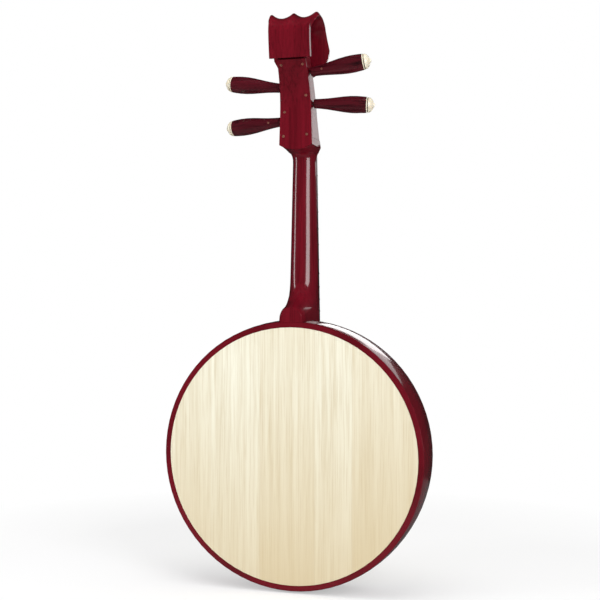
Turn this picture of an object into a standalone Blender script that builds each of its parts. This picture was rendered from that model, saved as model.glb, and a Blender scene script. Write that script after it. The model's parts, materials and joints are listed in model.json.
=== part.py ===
"""Zhongruan: a round-bodied four-string lute with a bent-back pegbox, worm-gear tuners and a curled scroll head.

Metres, +Z up along the neck, the soundboard facing -Y. The origin is the lowest point of the body's rim.
"""

import math

import bmesh
import bpy
from mathutils import Matrix, Vector

MM = 0.001
FIT = 0.3 * MM  # gap between pieces that touch

# Body
RIM_RADIUS = 207 * MM
RIM_BULGE = 2.3 * MM
RIM_ROUND = 2 * MM
RIM_WALL = 17 * MM
RIM_LIP = 11 * MM  # the rim outside a board
BODY_DEPTH = 77 * MM
BOARD_THICKNESS = 5 * MM
SOUND_HOLE_RADIUS = 22 * MM
SOUND_HOLE_X = 98 * MM
SOUND_HOLE_RISE = 10 * MM
BRACE_WIDTH = 8 * MM
BRACE_HEIGHT = 12 * MM
FRONT_BRACE_OFFSET = 62 * MM
BACK_BRACE_OFFSET = 72 * MM
BRACE_END_GAP = 8 * MM
SOUND_POST_RADIUS = 5 * MM
SOUND_POST_DROP = 85 * MM  # below the centre

# Neck and heel
NECK_HALF_AT_NUT = 17.8 * MM
NECK_HALF_AT_BODY = 23 * MM
NECK_DEPTH_AT_NUT = 22 * MM
NECK_DEPTH_AT_HEEL = 27 * MM
NECK_SIDE = 4 * MM
HEEL_TOP_RISE = 75 * MM
BUTTON_HALF = 17.5 * MM
BUTTON_RISE = 21 * MM
TENON_HALF = 11 * MM
TENON_DEPTH = 40 * MM
TENON_FRONT = 8 * MM

# Fingerboard, strings and bridge
NUT_Z = 672.3 * MM
STRING_LENGTH = 560 * MM
FRETS = 24
FINGERBOARD_THICKNESS = 7 * MM
FINGERBOARD_TAIL = 9 * MM
FRET_CROWN = 2.4 * MM
FRET_HEIGHT = 1.2 * MM
FRET_TANG = 0.6 * MM
FRET_TANG_DEPTH = 1.4 * MM
NUT_LENGTH = 5 * MM
NUT_HEIGHT = 3.1 * MM
STRING_HEIGHT_AT_NUT = 2.4 * MM
STRING_SPACING_AT_NUT = 7.8 * MM
STRING_SPACING_AT_BRIDGE = 10.5 * MM
STRING_RADII = (0.35 * MM, 0.45 * MM, 0.55 * MM, 0.65 * MM)
BRIDGE_STRING_HEIGHT = 12.5 * MM
BRIDGE_HEIGHT = 15 * MM
BRIDGE_LENGTH = 24 * MM
BRIDGE_HALF = 65 * MM
BRIDGE_WING = 4.5 * MM

# Pegbox
FOOT_Z = 675 * MM
SPINE_STRAIGHT = 53 * MM
SPINE_RADIUS = 140 * MM
SPINE_BEND = math.radians(28)
SPINE_TOP = 17 * MM
SPINE_BACK = 15.5 * MM
PEGBOX_HALF_FOOT = 26.6 * MM
PEGBOX_HALF_TOP = 22.5 * MM
PEGBOX_DEPTH_FOOT = 47 * MM
PEGBOX_DEPTH_TOP = 27 * MM
PEGBOX_DEPTH_POWER = 2.2
PEGBOX_JOINT_Z = 693.3 * MM
PEGBOX_CHAMFER = 2.2 * MM
CHEEK = 6.2 * MM
COVER_THICKNESS = 5 * MM
COVER_SAG = 7.6 * MM
CHAMBER_DEPTH = 11 * MM
FLOOR_THICKNESS = 4 * MM
TROUGH_START = 24 * MM
CHAMBER_START = 28 * MM
CHAMBER_END_WALL = 5 * MM
TROUGH_END_WALL = 6 * MM
TOP_BLOCK_HEIGHT = 26 * MM

# Tuners: the pegs rise or drop towards their ends, and all lean a little to the front
LOWER_TILT = math.radians(-3.7)
UPPER_TILT = math.radians(6.2)
PEG_LEAN = math.radians(7)
PEG_PLACES = (45.4 * MM, 69.7 * MM, 93.2 * MM, 113.4 * MM)  # up the pegbox's back
PEG_SIDES = (1, -1, 1, -1)
PEG_TILTS = (LOWER_TILT, LOWER_TILT, UPPER_TILT, UPPER_TILT)
GEAR_TEETH = 14
GEAR_MODULE = 0.9 * MM
WORM_PITCH_RADIUS = 3.0 * MM
TOOTH_RISE = 0.8 * MM
TOOTH_DROP = 1.1 * MM
TOOTH_HALF = 0.5 * MM
THREAD_HALF = 0.55 * MM
TOOTH_SLOPE = math.tan(math.radians(20))
WHEEL_THICKNESS = 4 * MM
WORM_LENGTH = 12 * MM
SHAFT_RADIUS = 2.5 * MM
SHAFT_RUN = 0.4 * MM
SHAFT_IN_HANDLE = 24 * MM
SHAFT_TAIL = 2 * MM
POST_RADIUS = 3 * MM
POST_RUN = 0.3 * MM
POST_FRONTS = (29 * MM, 29 * MM, 26 * MM, 26 * MM)
POST_WAIST = 0.5 * MM
POST_WAIST_HALF = 2.2 * MM
POST_TAIL = 1.0 * MM
POST_X = 9 * MM

# Peg handles: distance from the cheek and radius
HANDLE_GAP = 1.3 * MM
HANDLE_PROFILE = ((0.0, 5.2), (1.5, 7.1), (10, 7.6), (22, 8.9), (34, 10.6), (46, 12.3), (57, 13.3), (67, 13.5),
                  (75, 13.1), (81.5, 12.3))
HANDLE_FLUTES = 8
HANDLE_FLUTE_DEPTH = 0.5 * MM
CAP_PROFILE = ((0.0, 12.0), (1.6, 12.2), (1.6, 11.0), (3.2, 11.0), (3.2, 11.7), (5.0, 11.2), (7.5, 9.4), (9.6, 6.4),
               (10.6, 3.2), (12.3, 2.6), (12.6, 0.0))

# Scroll head: the outer face of the sheet, from its lower back edge over the top to the tip, as (y, z)
SHEET_THICKNESS = 7.5 * MM
SHEET_FOOT = (48 * MM, 809.3 * MM)
SHEET_BACK = (52 * MM, 836 * MM)
CURL_CENTRE = (15.4 * MM, 845 * MM)
CURL_RADIUS = 38 * MM
FRONT_LEG = ((-22.9, 832), (-21.6, 818), (-18.6, 804), (-14.2, 791), (-9.5, 781.5))
SHEET_HALF_BACK = 32.2 * MM
SHEET_HALF_CREST = 36 * MM
# Half widths of the cloud-shaped front, as (height, half width)
CLOUD = ((862, 37.4), (850, 39.6), (838, 43.0), (828, 44.6), (818, 43.0), (807, 37.0), (797, 30.0), (790, 22.0),
         (784.5, 12.0), (781.5, 3.0))
FLUTE_DEPTH = 7.4 * MM
SHEET_COLUMNS = 16
SHEET_EDGE = 1.2 * MM
INLAY_THICKNESS = 1.2 * MM

RIM_SEGMENTS = 80

CENTRE_Z = RIM_RADIUS
RIM_INNER_RADIUS = RIM_RADIUS - RIM_WALL
BOARD_RADIUS = RIM_RADIUS - RIM_LIP
FACE_RADIUS = RIM_RADIUS - RIM_BULGE
BACK_Y = BODY_DEPTH / 2
FRONT_Y = -BODY_DEPTH / 2
FINGERBOARD_Y = FRONT_Y - FIT - FINGERBOARD_THICKNESS
STRING_NUT_Y = FINGERBOARD_Y - STRING_HEIGHT_AT_NUT
STRING_BRIDGE_Y = FRONT_Y - BRIDGE_STRING_HEIGHT
BRIDGE_TOP_Z = NUT_Z - STRING_LENGTH
SPINE_LENGTH = SPINE_STRAIGHT + SPINE_RADIUS * SPINE_BEND + SPINE_TOP
AXIS_DEPTH = COVER_THICKNESS + FIT + CHAMBER_DEPTH / 2
FLOOR_DEPTH = COVER_THICKNESS + FIT + CHAMBER_DEPTH
GEAR_RADIUS = GEAR_TEETH * GEAR_MODULE / 2
GEAR_PITCH = math.pi * GEAR_MODULE
CENTRES = GEAR_RADIUS + WORM_PITCH_RADIUS

COLOURS = {
    "lacquer": ((0.16, 0.008, 0.02, 1), 0.12, 0.0),
    "rosewood": ((0.06, 0.012, 0.02, 1), 0.3, 0.0),
    "board": ((0.86, 0.78, 0.6, 1), 0.55, 0.0),
    "spruce": ((0.7, 0.55, 0.36, 1), 0.7, 0.0),
    "bone": ((0.85, 0.8, 0.68, 1), 0.35, 0.0),
    "ebony": ((0.03, 0.02, 0.02, 1), 0.35, 0.0),
    "steel": ((0.6, 0.6, 0.6, 1), 0.3, 1.0),
    "brass": ((0.75, 0.55, 0.25, 1), 0.3, 1.0),
}


def clear_scene():
    for obj in list(bpy.data.objects):
        bpy.data.objects.remove(obj)


def new_collection(name):
    collection = bpy.data.collections.new(name)
    bpy.context.scene.collection.children.link(collection)
    return collection


def material(name):
    found = bpy.data.materials.get(name)
    if found:
        return found
    colour, roughness, metallic = COLOURS[name]
    made = bpy.data.materials.new(name)
    made.use_nodes = True
    shader = made.node_tree.nodes["Principled BSDF"]
    shader.inputs["Base Color"].default_value = colour
    shader.inputs["Roughness"].default_value = roughness
    shader.inputs["Metallic"].default_value = metallic
    made.diffuse_color = colour
    return made


def add_object(name, mesh, finish, collection):
    obj = bpy.data.objects.new(name, mesh)
    collection.objects.link(obj)
    if finish:
        mesh.materials.append(material(finish))
        mesh.shade_smooth()
        mesh.set_sharp_from_angle(angle=math.radians(35))
    else:
        obj.hide_render = True
        obj.display_type = "WIRE"
    return obj


def mesh_from(bm, name):
    bmesh.ops.recalc_face_normals(bm, faces=bm.faces)
    mesh = bpy.data.meshes.new(name)
    bm.to_mesh(mesh)
    bm.free()
    return mesh


def loft(name, rings):
    """A closed solid through rings of equally many points, with flat ends."""
    bm = bmesh.new()
    rows = [[bm.verts.new(point) for point in ring] for ring in rings]
    count = len(rows[0])
    for low, high in zip(rows, rows[1:]):
        for i in range(count):
            j = (i + 1) % count
            bm.faces.new((low[i], low[j], high[j], high[i]))
    bm.faces.new(rows[0][::-1])
    bm.faces.new(rows[-1])
    return mesh_from(bm, name)


def block(name, low, high):
    """A plain box between two corners."""
    bm = bmesh.new()
    bmesh.ops.create_cube(bm, size=1)
    size = Vector(high) - Vector(low)
    bmesh.ops.scale(bm, vec=size, verts=bm.verts)
    bmesh.ops.translate(bm, vec=(Vector(high) + Vector(low)) / 2, verts=bm.verts)
    return mesh_from(bm, name)


def rod(name, start, end, radius, segments=16):
    """A cylinder between two points."""
    bm = bmesh.new()
    along = Vector(end) - Vector(start)
    bmesh.ops.create_cone(bm, cap_ends=True, segments=segments, radius1=radius, radius2=radius, depth=along.length)
    turn = along.to_track_quat("Z", "Y").to_matrix().to_4x4()
    bmesh.ops.transform(bm, matrix=Matrix.Translation((Vector(end) + Vector(start)) / 2) @ turn, verts=bm.verts)
    return mesh_from(bm, name)


def turned(name, profile, steps, finish, collection, closed=False):
    """A lathe-turned piece about its own Z axis; the profile (radius, height) runs down its outer side."""
    mesh = bpy.data.meshes.new(name)
    points = [(radius, 0, height) for radius, height in profile]
    edges = [(i, i + 1) for i in range(len(points) - 1)]
    if closed:
        edges.append((len(points) - 1, 0))
    mesh.from_pydata(points, edges, [])
    obj = add_object(name, mesh, finish, collection)
    screw = obj.modifiers.new("Turn", "SCREW")
    screw.steps = steps
    screw.render_steps = steps
    screw.use_merge_vertices = True
    screw.merge_threshold = 0.00001
    screw.use_smooth_shade = True
    return obj


def baked(obj):
    """The object with its modifiers applied."""
    graph = bpy.context.evaluated_depsgraph_get()
    mesh = bpy.data.meshes.new_from_object(obj.evaluated_get(graph))
    obj.modifiers.clear()
    obj.data = mesh
    return obj


def cut(obj, cutter, operation="DIFFERENCE"):
    modifier = obj.modifiers.new(operation.title() + " " + cutter.name, "BOOLEAN")
    modifier.operation = operation
    modifier.object = cutter
    modifier.solver = "EXACT"


def mix(a, b, t):
    return a + (b - a) * t


def smooth(t):
    t = min(max(t, 0), 1)
    return t * t * (3 - 2 * t)


def along(points, x):
    """Straight-line reading of a list of (x, value), x rising."""
    if x <= points[0][0]:
        return points[0][1]
    for (xa, a), (xb, b) in zip(points, points[1:]):
        if x <= xb:
            return mix(a, b, (x - xa) / (xb - xa))
    return points[-1][1]


def spine(s):
    """A point of the pegbox's back face at distance s above its foot, with the lean there: (y, z, lean)."""
    if s <= SPINE_STRAIGHT:
        return SPINE_BACK, FOOT_Z + s, 0.0
    bend = min((s - SPINE_STRAIGHT) / SPINE_RADIUS, SPINE_BEND)
    y = SPINE_BACK + SPINE_RADIUS * (1 - math.cos(bend))
    z = FOOT_Z + SPINE_STRAIGHT + SPINE_RADIUS * math.sin(bend)
    rest = s - SPINE_STRAIGHT - SPINE_RADIUS * bend
    return y + rest * math.sin(bend), z + rest * math.cos(bend), bend


def spine_point(x, s, depth):
    """The point at width x, height s along the back face, and depth in front of it."""
    y, z, lean = spine(s)
    return Vector((x, y - depth * math.cos(lean), z + depth * math.sin(lean)))


def pegbox_half(s):
    return mix(PEGBOX_HALF_FOOT, PEGBOX_HALF_TOP, min(max(s / SPINE_LENGTH, 0), 1))


def pegbox_depth(s):
    start = PEGBOX_JOINT_Z - FOOT_Z
    t = min(max((s - start) / (SPINE_LENGTH - start), 0), 1)
    return mix(PEGBOX_DEPTH_TOP, PEGBOX_DEPTH_FOOT, (1 - t) ** PEGBOX_DEPTH_POWER)


def neck_half(z):
    """Half width of the neck and fingerboard at height z."""
    body_top = 2 * CENTRE_Z
    return mix(NECK_HALF_AT_BODY, NECK_HALF_AT_NUT, (z - body_top) / (NUT_Z - body_top))


def spread(count):
    return [2 * i / (count - 1) - 1 for i in range(count)]


def rim_profile(clearance=0.0):
    """The rim's outer side from the back face to the front face, as (radius, y)."""
    edge = BACK_Y - RIM_ROUND
    points = [(FACE_RADIUS - RIM_ROUND + clearance, BACK_Y + clearance)]
    points.append((FACE_RADIUS - RIM_ROUND * 0.3 + clearance, BACK_Y - RIM_ROUND * 0.3 + clearance))
    for step in (1, 0.7, 0.35, 0, -0.35, -0.7, -1):
        points.append((FACE_RADIUS + RIM_BULGE * (1 - step * step) + clearance, edge * step))
    points.append((FACE_RADIUS - RIM_ROUND * 0.3 + clearance, -BACK_Y + RIM_ROUND * 0.3 - clearance))
    points.append((FACE_RADIUS - RIM_ROUND + clearance, -BACK_Y - clearance))
    return points


def lay_about_y(obj):
    """Turns a lathe piece so that its axis runs along the body's depth, through the body's centre."""
    obj.rotation_euler = (math.radians(-90), 0, 0)
    obj.location = (0, 0, CENTRE_Z)


def make_rim(parts, cutters):
    ledge = BACK_Y - BOARD_THICKNESS - FIT
    inner = [(BOARD_RADIUS, -BACK_Y), (BOARD_RADIUS, -ledge), (RIM_INNER_RADIUS, -ledge), (RIM_INNER_RADIUS, ledge),
             (BOARD_RADIUS, ledge), (BOARD_RADIUS, BACK_Y)]
    rim = turned("body_rim", rim_profile() + inner, RIM_SEGMENTS, "lacquer", parts, closed=True)
    lay_about_y(rim)
    low, high = tenon_box(FIT)
    mortise = add_object("mortise_cutter", block("mortise", low, high), None, cutters)
    cut(rim, mortise)


def tenon_box(clearance):
    front = FRONT_Y + TENON_FRONT
    low = (-TENON_HALF - clearance, front - clearance, CENTRE_Z + RIM_INNER_RADIUS + FIT - clearance * 30)
    high = (TENON_HALF + clearance, front + TENON_DEPTH + clearance, CENTRE_Z + RIM_RADIUS + 12 * MM)
    return low, high


def make_board(name, y_low, holes, parts, cutters):
    bm = bmesh.new()
    bmesh.ops.create_cone(bm, cap_ends=True, segments=RIM_SEGMENTS, radius1=BOARD_RADIUS - FIT,
                          radius2=BOARD_RADIUS - FIT, depth=BOARD_THICKNESS)
    turn = Matrix.Rotation(math.radians(90), 4, "X")
    move = Matrix.Translation((0, y_low + BOARD_THICKNESS / 2, CENTRE_Z))
    bmesh.ops.transform(bm, matrix=move @ turn, verts=bm.verts)
    board = add_object(name, mesh_from(bm, name), "board", parts)
    for x in holes:
        z = CENTRE_Z + SOUND_HOLE_RISE
        side = "left" if x > 0 else "right"
        hole = rod("hole", (x, y_low - 5 * MM, z), (x, y_low + BOARD_THICKNESS + 5 * MM, z), SOUND_HOLE_RADIUS, 36)
        cut(board, add_object("sound_hole_" + side, hole, None, cutters))


def make_brace(name, z, inward, parts):
    """A bar glued across the inside of a board, its ends thinned; inward is the way from board to middle."""
    board = -inward * (BACK_Y - BOARD_THICKNESS - FIT)
    half = math.sqrt(RIM_INNER_RADIUS ** 2 - (abs(z - CENTRE_Z) + BRACE_WIDTH) ** 2) - BRACE_END_GAP
    outline = ((-1, 0.0), (-1, 0.3), (-0.85, 1), (0.85, 1), (1, 0.3), (1, 0.0))
    rings = []
    for side in (-0.5, 0.5):
        ring = [(half * u, board + inward * (FIT + BRACE_HEIGHT * v), z + side * BRACE_WIDTH) for u, v in outline]
        rings.append(ring)
    add_object(name, loft(name, rings), "spruce", parts)


def make_body(parts, cutters):
    make_rim(parts, cutters)
    make_board("back_board", BACK_Y - BOARD_THICKNESS, (), parts, cutters)
    make_board("soundboard", FRONT_Y, (SOUND_HOLE_X, -SOUND_HOLE_X), parts, cutters)
    make_brace("front_brace_upper", CENTRE_Z + FRONT_BRACE_OFFSET, 1, parts)
    make_brace("front_brace_lower", CENTRE_Z - FRONT_BRACE_OFFSET, 1, parts)
    make_brace("back_brace_upper", CENTRE_Z + BACK_BRACE_OFFSET, -1, parts)
    make_brace("back_brace_lower", CENTRE_Z - BACK_BRACE_OFFSET, -1, parts)
    reach = BACK_Y - BOARD_THICKNESS - FIT
    height = CENTRE_Z - SOUND_POST_DROP
    post = rod("sound_post", (0, -reach, height), (0, reach, height), SOUND_POST_RADIUS, 16)
    add_object("sound_post", post, "spruce", parts)


def section(half, front, back, flat, z, points=9, side=NECK_SIDE):
    """A neck section at height z: straight sides behind the front plane, then a curve to a flat of half width flat."""
    ring = []
    for i in range(points):
        angle = math.pi / 2 * i / (points - 1)
        x = flat + (half - flat) * math.cos(angle)
        y = mix(front + side, back, math.sin(angle))
        ring.append((x, y, z))
    ring = [(half, front, z)] + ring
    mirrored = [(-x, y, z) for x, y, z in reversed(ring)]
    return ring + mirrored


def make_neck(parts, cutters):
    body_top = 2 * CENTRE_Z
    base = body_top - 12 * MM
    heel_top = body_top + HEEL_TOP_RISE
    button_top = body_top - RIM_BULGE + BUTTON_RISE
    slope_start = NUT_Z - 12 * MM
    rings = []

    def back_at(z):
        depth = mix(NECK_DEPTH_AT_HEEL, NECK_DEPTH_AT_NUT, (z - heel_top) / (NUT_Z - heel_top))
        return FRONT_Y + depth

    # Heel: the button's arch, flush with the back board
    for t in (0, 0.35, 0.6, 0.8, 0.93, 0.99):
        z = mix(base, button_top, t)
        arch = math.sqrt(max(1 - (max(z - (button_top - BUTTON_HALF), 0) / BUTTON_HALF) ** 2, 0))
        rings.append(section(neck_half(z) + 1.5 * MM * (1 - t), FRONT_Y, BACK_Y, BUTTON_HALF * arch, z))
    # Heel: the sweep from the button forward into the neck
    for t in (0.0, 0.06, 0.16, 0.3, 0.48, 0.7, 1.0):
        z = mix(button_top + 0.8 * MM, heel_top, t)
        sweep = (1 - t) ** 3.2
        rings.append(section(neck_half(z), FRONT_Y, mix(back_at(heel_top), BACK_Y - 2 * MM, sweep), 0.4 * MM, z))
    for t in (0.25, 0.5, 0.75, 1.0):
        z = mix(heel_top, slope_start, t)
        rings.append(section(neck_half(z), FRONT_Y, back_at(z), 0.4 * MM, z))
    # Pegbox foot: the horn that opens into the pegbox's full section
    for t in (0.35, 0.6, 0.8, 0.92):
        z = mix(slope_start, FOOT_Z, t)
        rings.append(section(neck_half(z) + 3.4 * MM * t ** 2, FRONT_Y, mix(back_at(z), SPINE_BACK, 0.35 * t ** 4),
                             0.4 * MM, z))
    cover_back = SPINE_BACK - COVER_THICKNESS - FIT
    for t in (0.0, 0.3, 0.65, 1.0):
        z = FOOT_Z + COVER_SAG * t + 0.4 * MM
        half = mix(neck_half(NUT_Z) + 4.4 * MM, PEGBOX_HALF_FOOT - 1.2 * MM, smooth(t))
        flat = pegbox_half(0) * math.sqrt(min(t + 0.02, 1)) * 0.98
        front = FRONT_Y if z < NUT_Z + NUT_LENGTH + 2 * MM else front_at(z)
        rings.append(section(max(half, flat), front, cover_back, flat, z))
    for t in (0.5, 1.0):
        z = mix(FOOT_Z + COVER_SAG, PEGBOX_JOINT_Z, t)
        half = pegbox_half(z - FOOT_Z)
        rings.append(section(half, front_at(z), cover_back, half - 0.5 * MM, z, side=2 * MM))
    neck = add_object("neck", loft("neck", rings), "lacquer", parts)
    envelope = turned("rim_envelope", [(0, BACK_Y + 20 * MM)] + [
        (FACE_RADIUS - RIM_ROUND + FIT, BACK_Y + 20 * MM)] + rim_profile(FIT) + [
        (FACE_RADIUS - RIM_ROUND + FIT, FRONT_Y - 20 * MM), (0, FRONT_Y - 20 * MM)], RIM_SEGMENTS, None, cutters)
    lay_about_y(envelope)
    cut(neck, envelope)
    low, high = tenon_box(0)
    tenon = add_object("tenon_shape", block("tenon", low, high), None, cutters)
    cut(neck, tenon, "UNION")


def front_at(z):
    """The pegbox's front surface, from the nut up to the joint."""
    start = NUT_Z + NUT_LENGTH + 2 * MM
    joint_front = SPINE_BACK - PEGBOX_DEPTH_FOOT
    return mix(FRONT_Y, joint_front, min(max((z - start) / (PEGBOX_JOINT_Z - start), 0), 1))


def pegbox_ring(s, inner_half, near, far, chamfer):
    ring = [(inner_half, near), (inner_half, far - chamfer), (inner_half - chamfer, far)]
    ring += [(-x, d) for x, d in reversed(ring)]
    return [spine_point(x, s, d) for x, d in ring]


def make_pegbox(parts, cutters):
    start = PEGBOX_JOINT_Z + FIT - FOOT_Z
    near = COVER_THICKNESS + FIT
    steps = 14
    heights = [mix(start, SPINE_LENGTH, i / steps) for i in range(steps + 1)]
    rings = [pegbox_ring(s, pegbox_half(s), near, pegbox_depth(s), PEGBOX_CHAMFER) for s in heights]
    pegbox = add_object("pegbox", loft("pegbox", rings), "lacquer", parts)
    trough = [mix(TROUGH_START, SPINE_LENGTH - TROUGH_END_WALL, i / 10) for i in range(11)]
    rings = [pegbox_ring(s, pegbox_half(s) - CHEEK, FLOOR_DEPTH + FLOOR_THICKNESS, pegbox_depth(s) + 8 * MM, 0.1 * MM)
             for s in trough]
    cut(pegbox, add_object("trough_cutter", loft("trough", rings), None, cutters))
    chamber = [mix(CHAMBER_START, SPINE_LENGTH - CHAMBER_END_WALL, i / 10) for i in range(11)]
    rings = [pegbox_ring(s, pegbox_half(s) - CHEEK, -5 * MM, FLOOR_DEPTH, 0.1 * MM) for s in chamber]
    cut(pegbox, add_object("chamber_cutter", loft("chamber", rings), None, cutters))
    cut(pegbox, add_object("top_block_shape", top_block(), None, cutters), "UNION")
    return pegbox


def top_block():
    """The pegbox's top, glued inside the curl, its upper face sweeping up to the sheet's inner face."""
    front = spine_point(0, SPINE_LENGTH - 1 * MM, PEGBOX_DEPTH_TOP)
    inner_back = spine_point(0, SPINE_LENGTH - 1 * MM, COVER_THICKNESS + FIT)
    foot_y = SHEET_FOOT[0] - SHEET_THICKNESS - FIT
    head_y = mix(SHEET_FOOT[0], SHEET_BACK[0], TOP_BLOCK_HEIGHT / (SHEET_BACK[1] - SHEET_FOOT[1]))
    head_y -= SHEET_THICKNESS + FIT
    top_z = SHEET_FOOT[1] + TOP_BLOCK_HEIGHT
    foot_z = SHEET_FOOT[1] + 3.2 * MM
    above = spine_point(0, SPINE_LENGTH + 2 * FIT, COVER_THICKNESS + FIT)
    outline = [(inner_back.y, inner_back.z), (above.y, above.z), (foot_y, foot_z), (head_y, top_z)]
    reach = head_y - front.y
    rise = top_z - front.z - 1 * MM
    for i in range(1, 8):
        t = i / 7
        outline.append((head_y - reach * t, front.z + 1 * MM + rise * (1 - t) ** 2.6))
    outline.append((front.y, front.z))
    half = PEGBOX_HALF_TOP - 0.05 * MM
    return loft("top_block", [[(x, y, z) for y, z in outline] for x in (-half, half)])


def make_cover(parts):
    """The pegbox's screwed-on back, with its bowed lower edge."""
    columns = spread(13)
    rows = 16
    bm = bmesh.new()
    grid = []
    for r in range(rows + 1):
        line = []
        for u in columns:
            s = mix(COVER_SAG * u * u, SPINE_LENGTH, r / rows)
            line.append(bm.verts.new(spine_point(u * pegbox_half(s), s, 0)))
        grid.append(line)
    for low, high in zip(grid, grid[1:]):
        for i in range(len(columns) - 1):
            bm.faces.new((low[i + 1], low[i], high[i], high[i + 1]))
    mesh = bpy.data.meshes.new("pegbox_cover")
    bm.to_mesh(mesh)
    bm.free()
    cover = add_object("pegbox_cover", mesh, "lacquer", parts)
    thick = cover.modifiers.new("Thickness", "SOLIDIFY")
    thick.thickness = COVER_THICKNESS
    thick.offset = -1
    edge = cover.modifiers.new("Edge", "BEVEL")
    edge.width = 0.8 * MM
    edge.segments = 2
    edge.angle_limit = math.radians(50)


def sheet_path():
    """The scroll's outer face from foot to tip, as (y, z, how far along: 0 back, 1 crest, 2 tip)."""
    path = [(SHEET_FOOT[0], SHEET_FOOT[1], 0.0)]
    path.append((mix(SHEET_FOOT[0], SHEET_BACK[0], 0.55), mix(SHEET_FOOT[1], SHEET_BACK[1], 0.5), 0.15))
    path.append((SHEET_BACK[0], SHEET_BACK[1], 0.3))
    for degrees in range(8, 181, 12):
        angle = math.radians(degrees)
        y = CURL_CENTRE[0] + CURL_RADIUS * math.cos(angle)
        z = CURL_CENTRE[1] + CURL_RADIUS * math.sin(angle)
        place = 0.4 + 0.6 * degrees / 90 if degrees < 90 else 1 + 0.4 * (degrees - 90) / 90
        path.append((y, z, place))
    for i, (y, z) in enumerate(FRONT_LEG):
        path.append((y * MM, z * MM, 1.5 + 0.5 * i / (len(FRONT_LEG) - 1)))
    return path


def sheet_half(y, z, place):
    if place < 0.4:
        return SHEET_HALF_BACK
    if place < 1:
        return mix(SHEET_HALF_BACK, SHEET_HALF_CREST, smooth((place - 0.4) / 0.6))
    if z > CLOUD[0][0] * MM:
        return mix(CLOUD[0][1] * MM, SHEET_HALF_CREST, smooth((z - CLOUD[0][0] * MM) / (CURL_CENTRE[1] + CURL_RADIUS
                                                                                      - CLOUD[0][0] * MM)))
    rising = [(h * MM, w * MM) for h, w in reversed(CLOUD)]
    return along(rising, z)


def make_head(parts, cutters):
    """The scroll: a fluted sheet curled over forwards, open at both sides."""
    path = sheet_path()
    columns = spread(SHEET_COLUMNS + 1)
    bm = bmesh.new()
    grid = []
    for i, (y, z, place) in enumerate(path):
        before = path[max(i - 1, 0)]
        after = path[min(i + 1, len(path) - 1)]
        way = Vector((0, after[0] - before[0], after[1] - before[1])).normalized()
        outward = Vector((0, way.z, -way.y))
        half = sheet_half(y, z, place)
        deep = FLUTE_DEPTH * smooth((place - 0.45) / 0.5) * (1 - 0.75 * smooth((place - 1.05) / 0.5))
        deep *= 1 - smooth((place - 1.6) / 0.4)
        line = []
        for u in columns:
            v = 2 * abs(u) - 1
            hollow = deep * (1 - v * v)
            line.append(bm.verts.new(Vector((u * half, y, z)) - outward * hollow))
        grid.append(line)
    for low, high in zip(grid, grid[1:]):
        for i in range(len(columns) - 1):
            bm.faces.new((low[i + 1], low[i], high[i], high[i + 1]))
    mesh = bpy.data.meshes.new("head_scroll")
    bm.to_mesh(mesh)
    bm.free()
    head = add_object("head_scroll", mesh, "lacquer", parts)
    thick = head.modifiers.new("Thickness", "SOLIDIFY")
    thick.thickness = SHEET_THICKNESS
    thick.offset = -1
    edge = head.modifiers.new("Edge", "BEVEL")
    edge.width = SHEET_EDGE
    edge.segments = 1
    edge.angle_limit = math.radians(60)


def tuner_frame(index):
    """Where a tuner sits: (side, its axis at the cheek, along the peg, from worm to wheel, the worm's place)."""
    side, s, tilt = PEG_SIDES[index], PEG_PLACES[index], PEG_TILTS[index]
    lean = spine(s)[2]
    up = Vector((0, math.sin(lean), math.cos(lean)))
    front = Vector((0, -math.cos(lean), math.sin(lean)))
    level = Vector((side * math.cos(tilt), 0, 0)) + up * math.sin(tilt)
    out = level * math.cos(PEG_LEAN) + front * math.sin(PEG_LEAN)
    across = Vector((-side * math.sin(tilt), 0, 0)) + up * math.cos(tilt)
    # The worm, where the string post stands, lies at the middle of the gear chamber
    start = spine_point(side * pegbox_half(s), s, AXIS_DEPTH)
    worm_centre = (side * POST_X - start.x) / out.x
    start -= front * worm_centre * math.sin(PEG_LEAN)
    return side, start, out, across, worm_centre


def frame_matrix(origin, first, second):
    """Local X along first, Y along second, placed at origin."""
    third = first.cross(second)
    matrix = Matrix((first, second, third)).transposed().to_4x4()
    return Matrix.Translation(origin) @ matrix


def tooth_outline(teeth):
    """Spur outline of the worm wheel: (radius, angle) with a gap facing the worm, at angle 0."""
    points = []
    for tooth in range(teeth):
        middle = 2 * math.pi * (tooth + 0.5) / teeth
        for rise, sign in ((-TOOTH_DROP, -1), (TOOTH_RISE, -1), (TOOTH_RISE, 1), (-TOOTH_DROP, 1)):
            half = TOOTH_HALF - rise * TOOTH_SLOPE
            points.append((GEAR_RADIUS + rise, middle + sign * half / GEAR_RADIUS))
    return points


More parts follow.
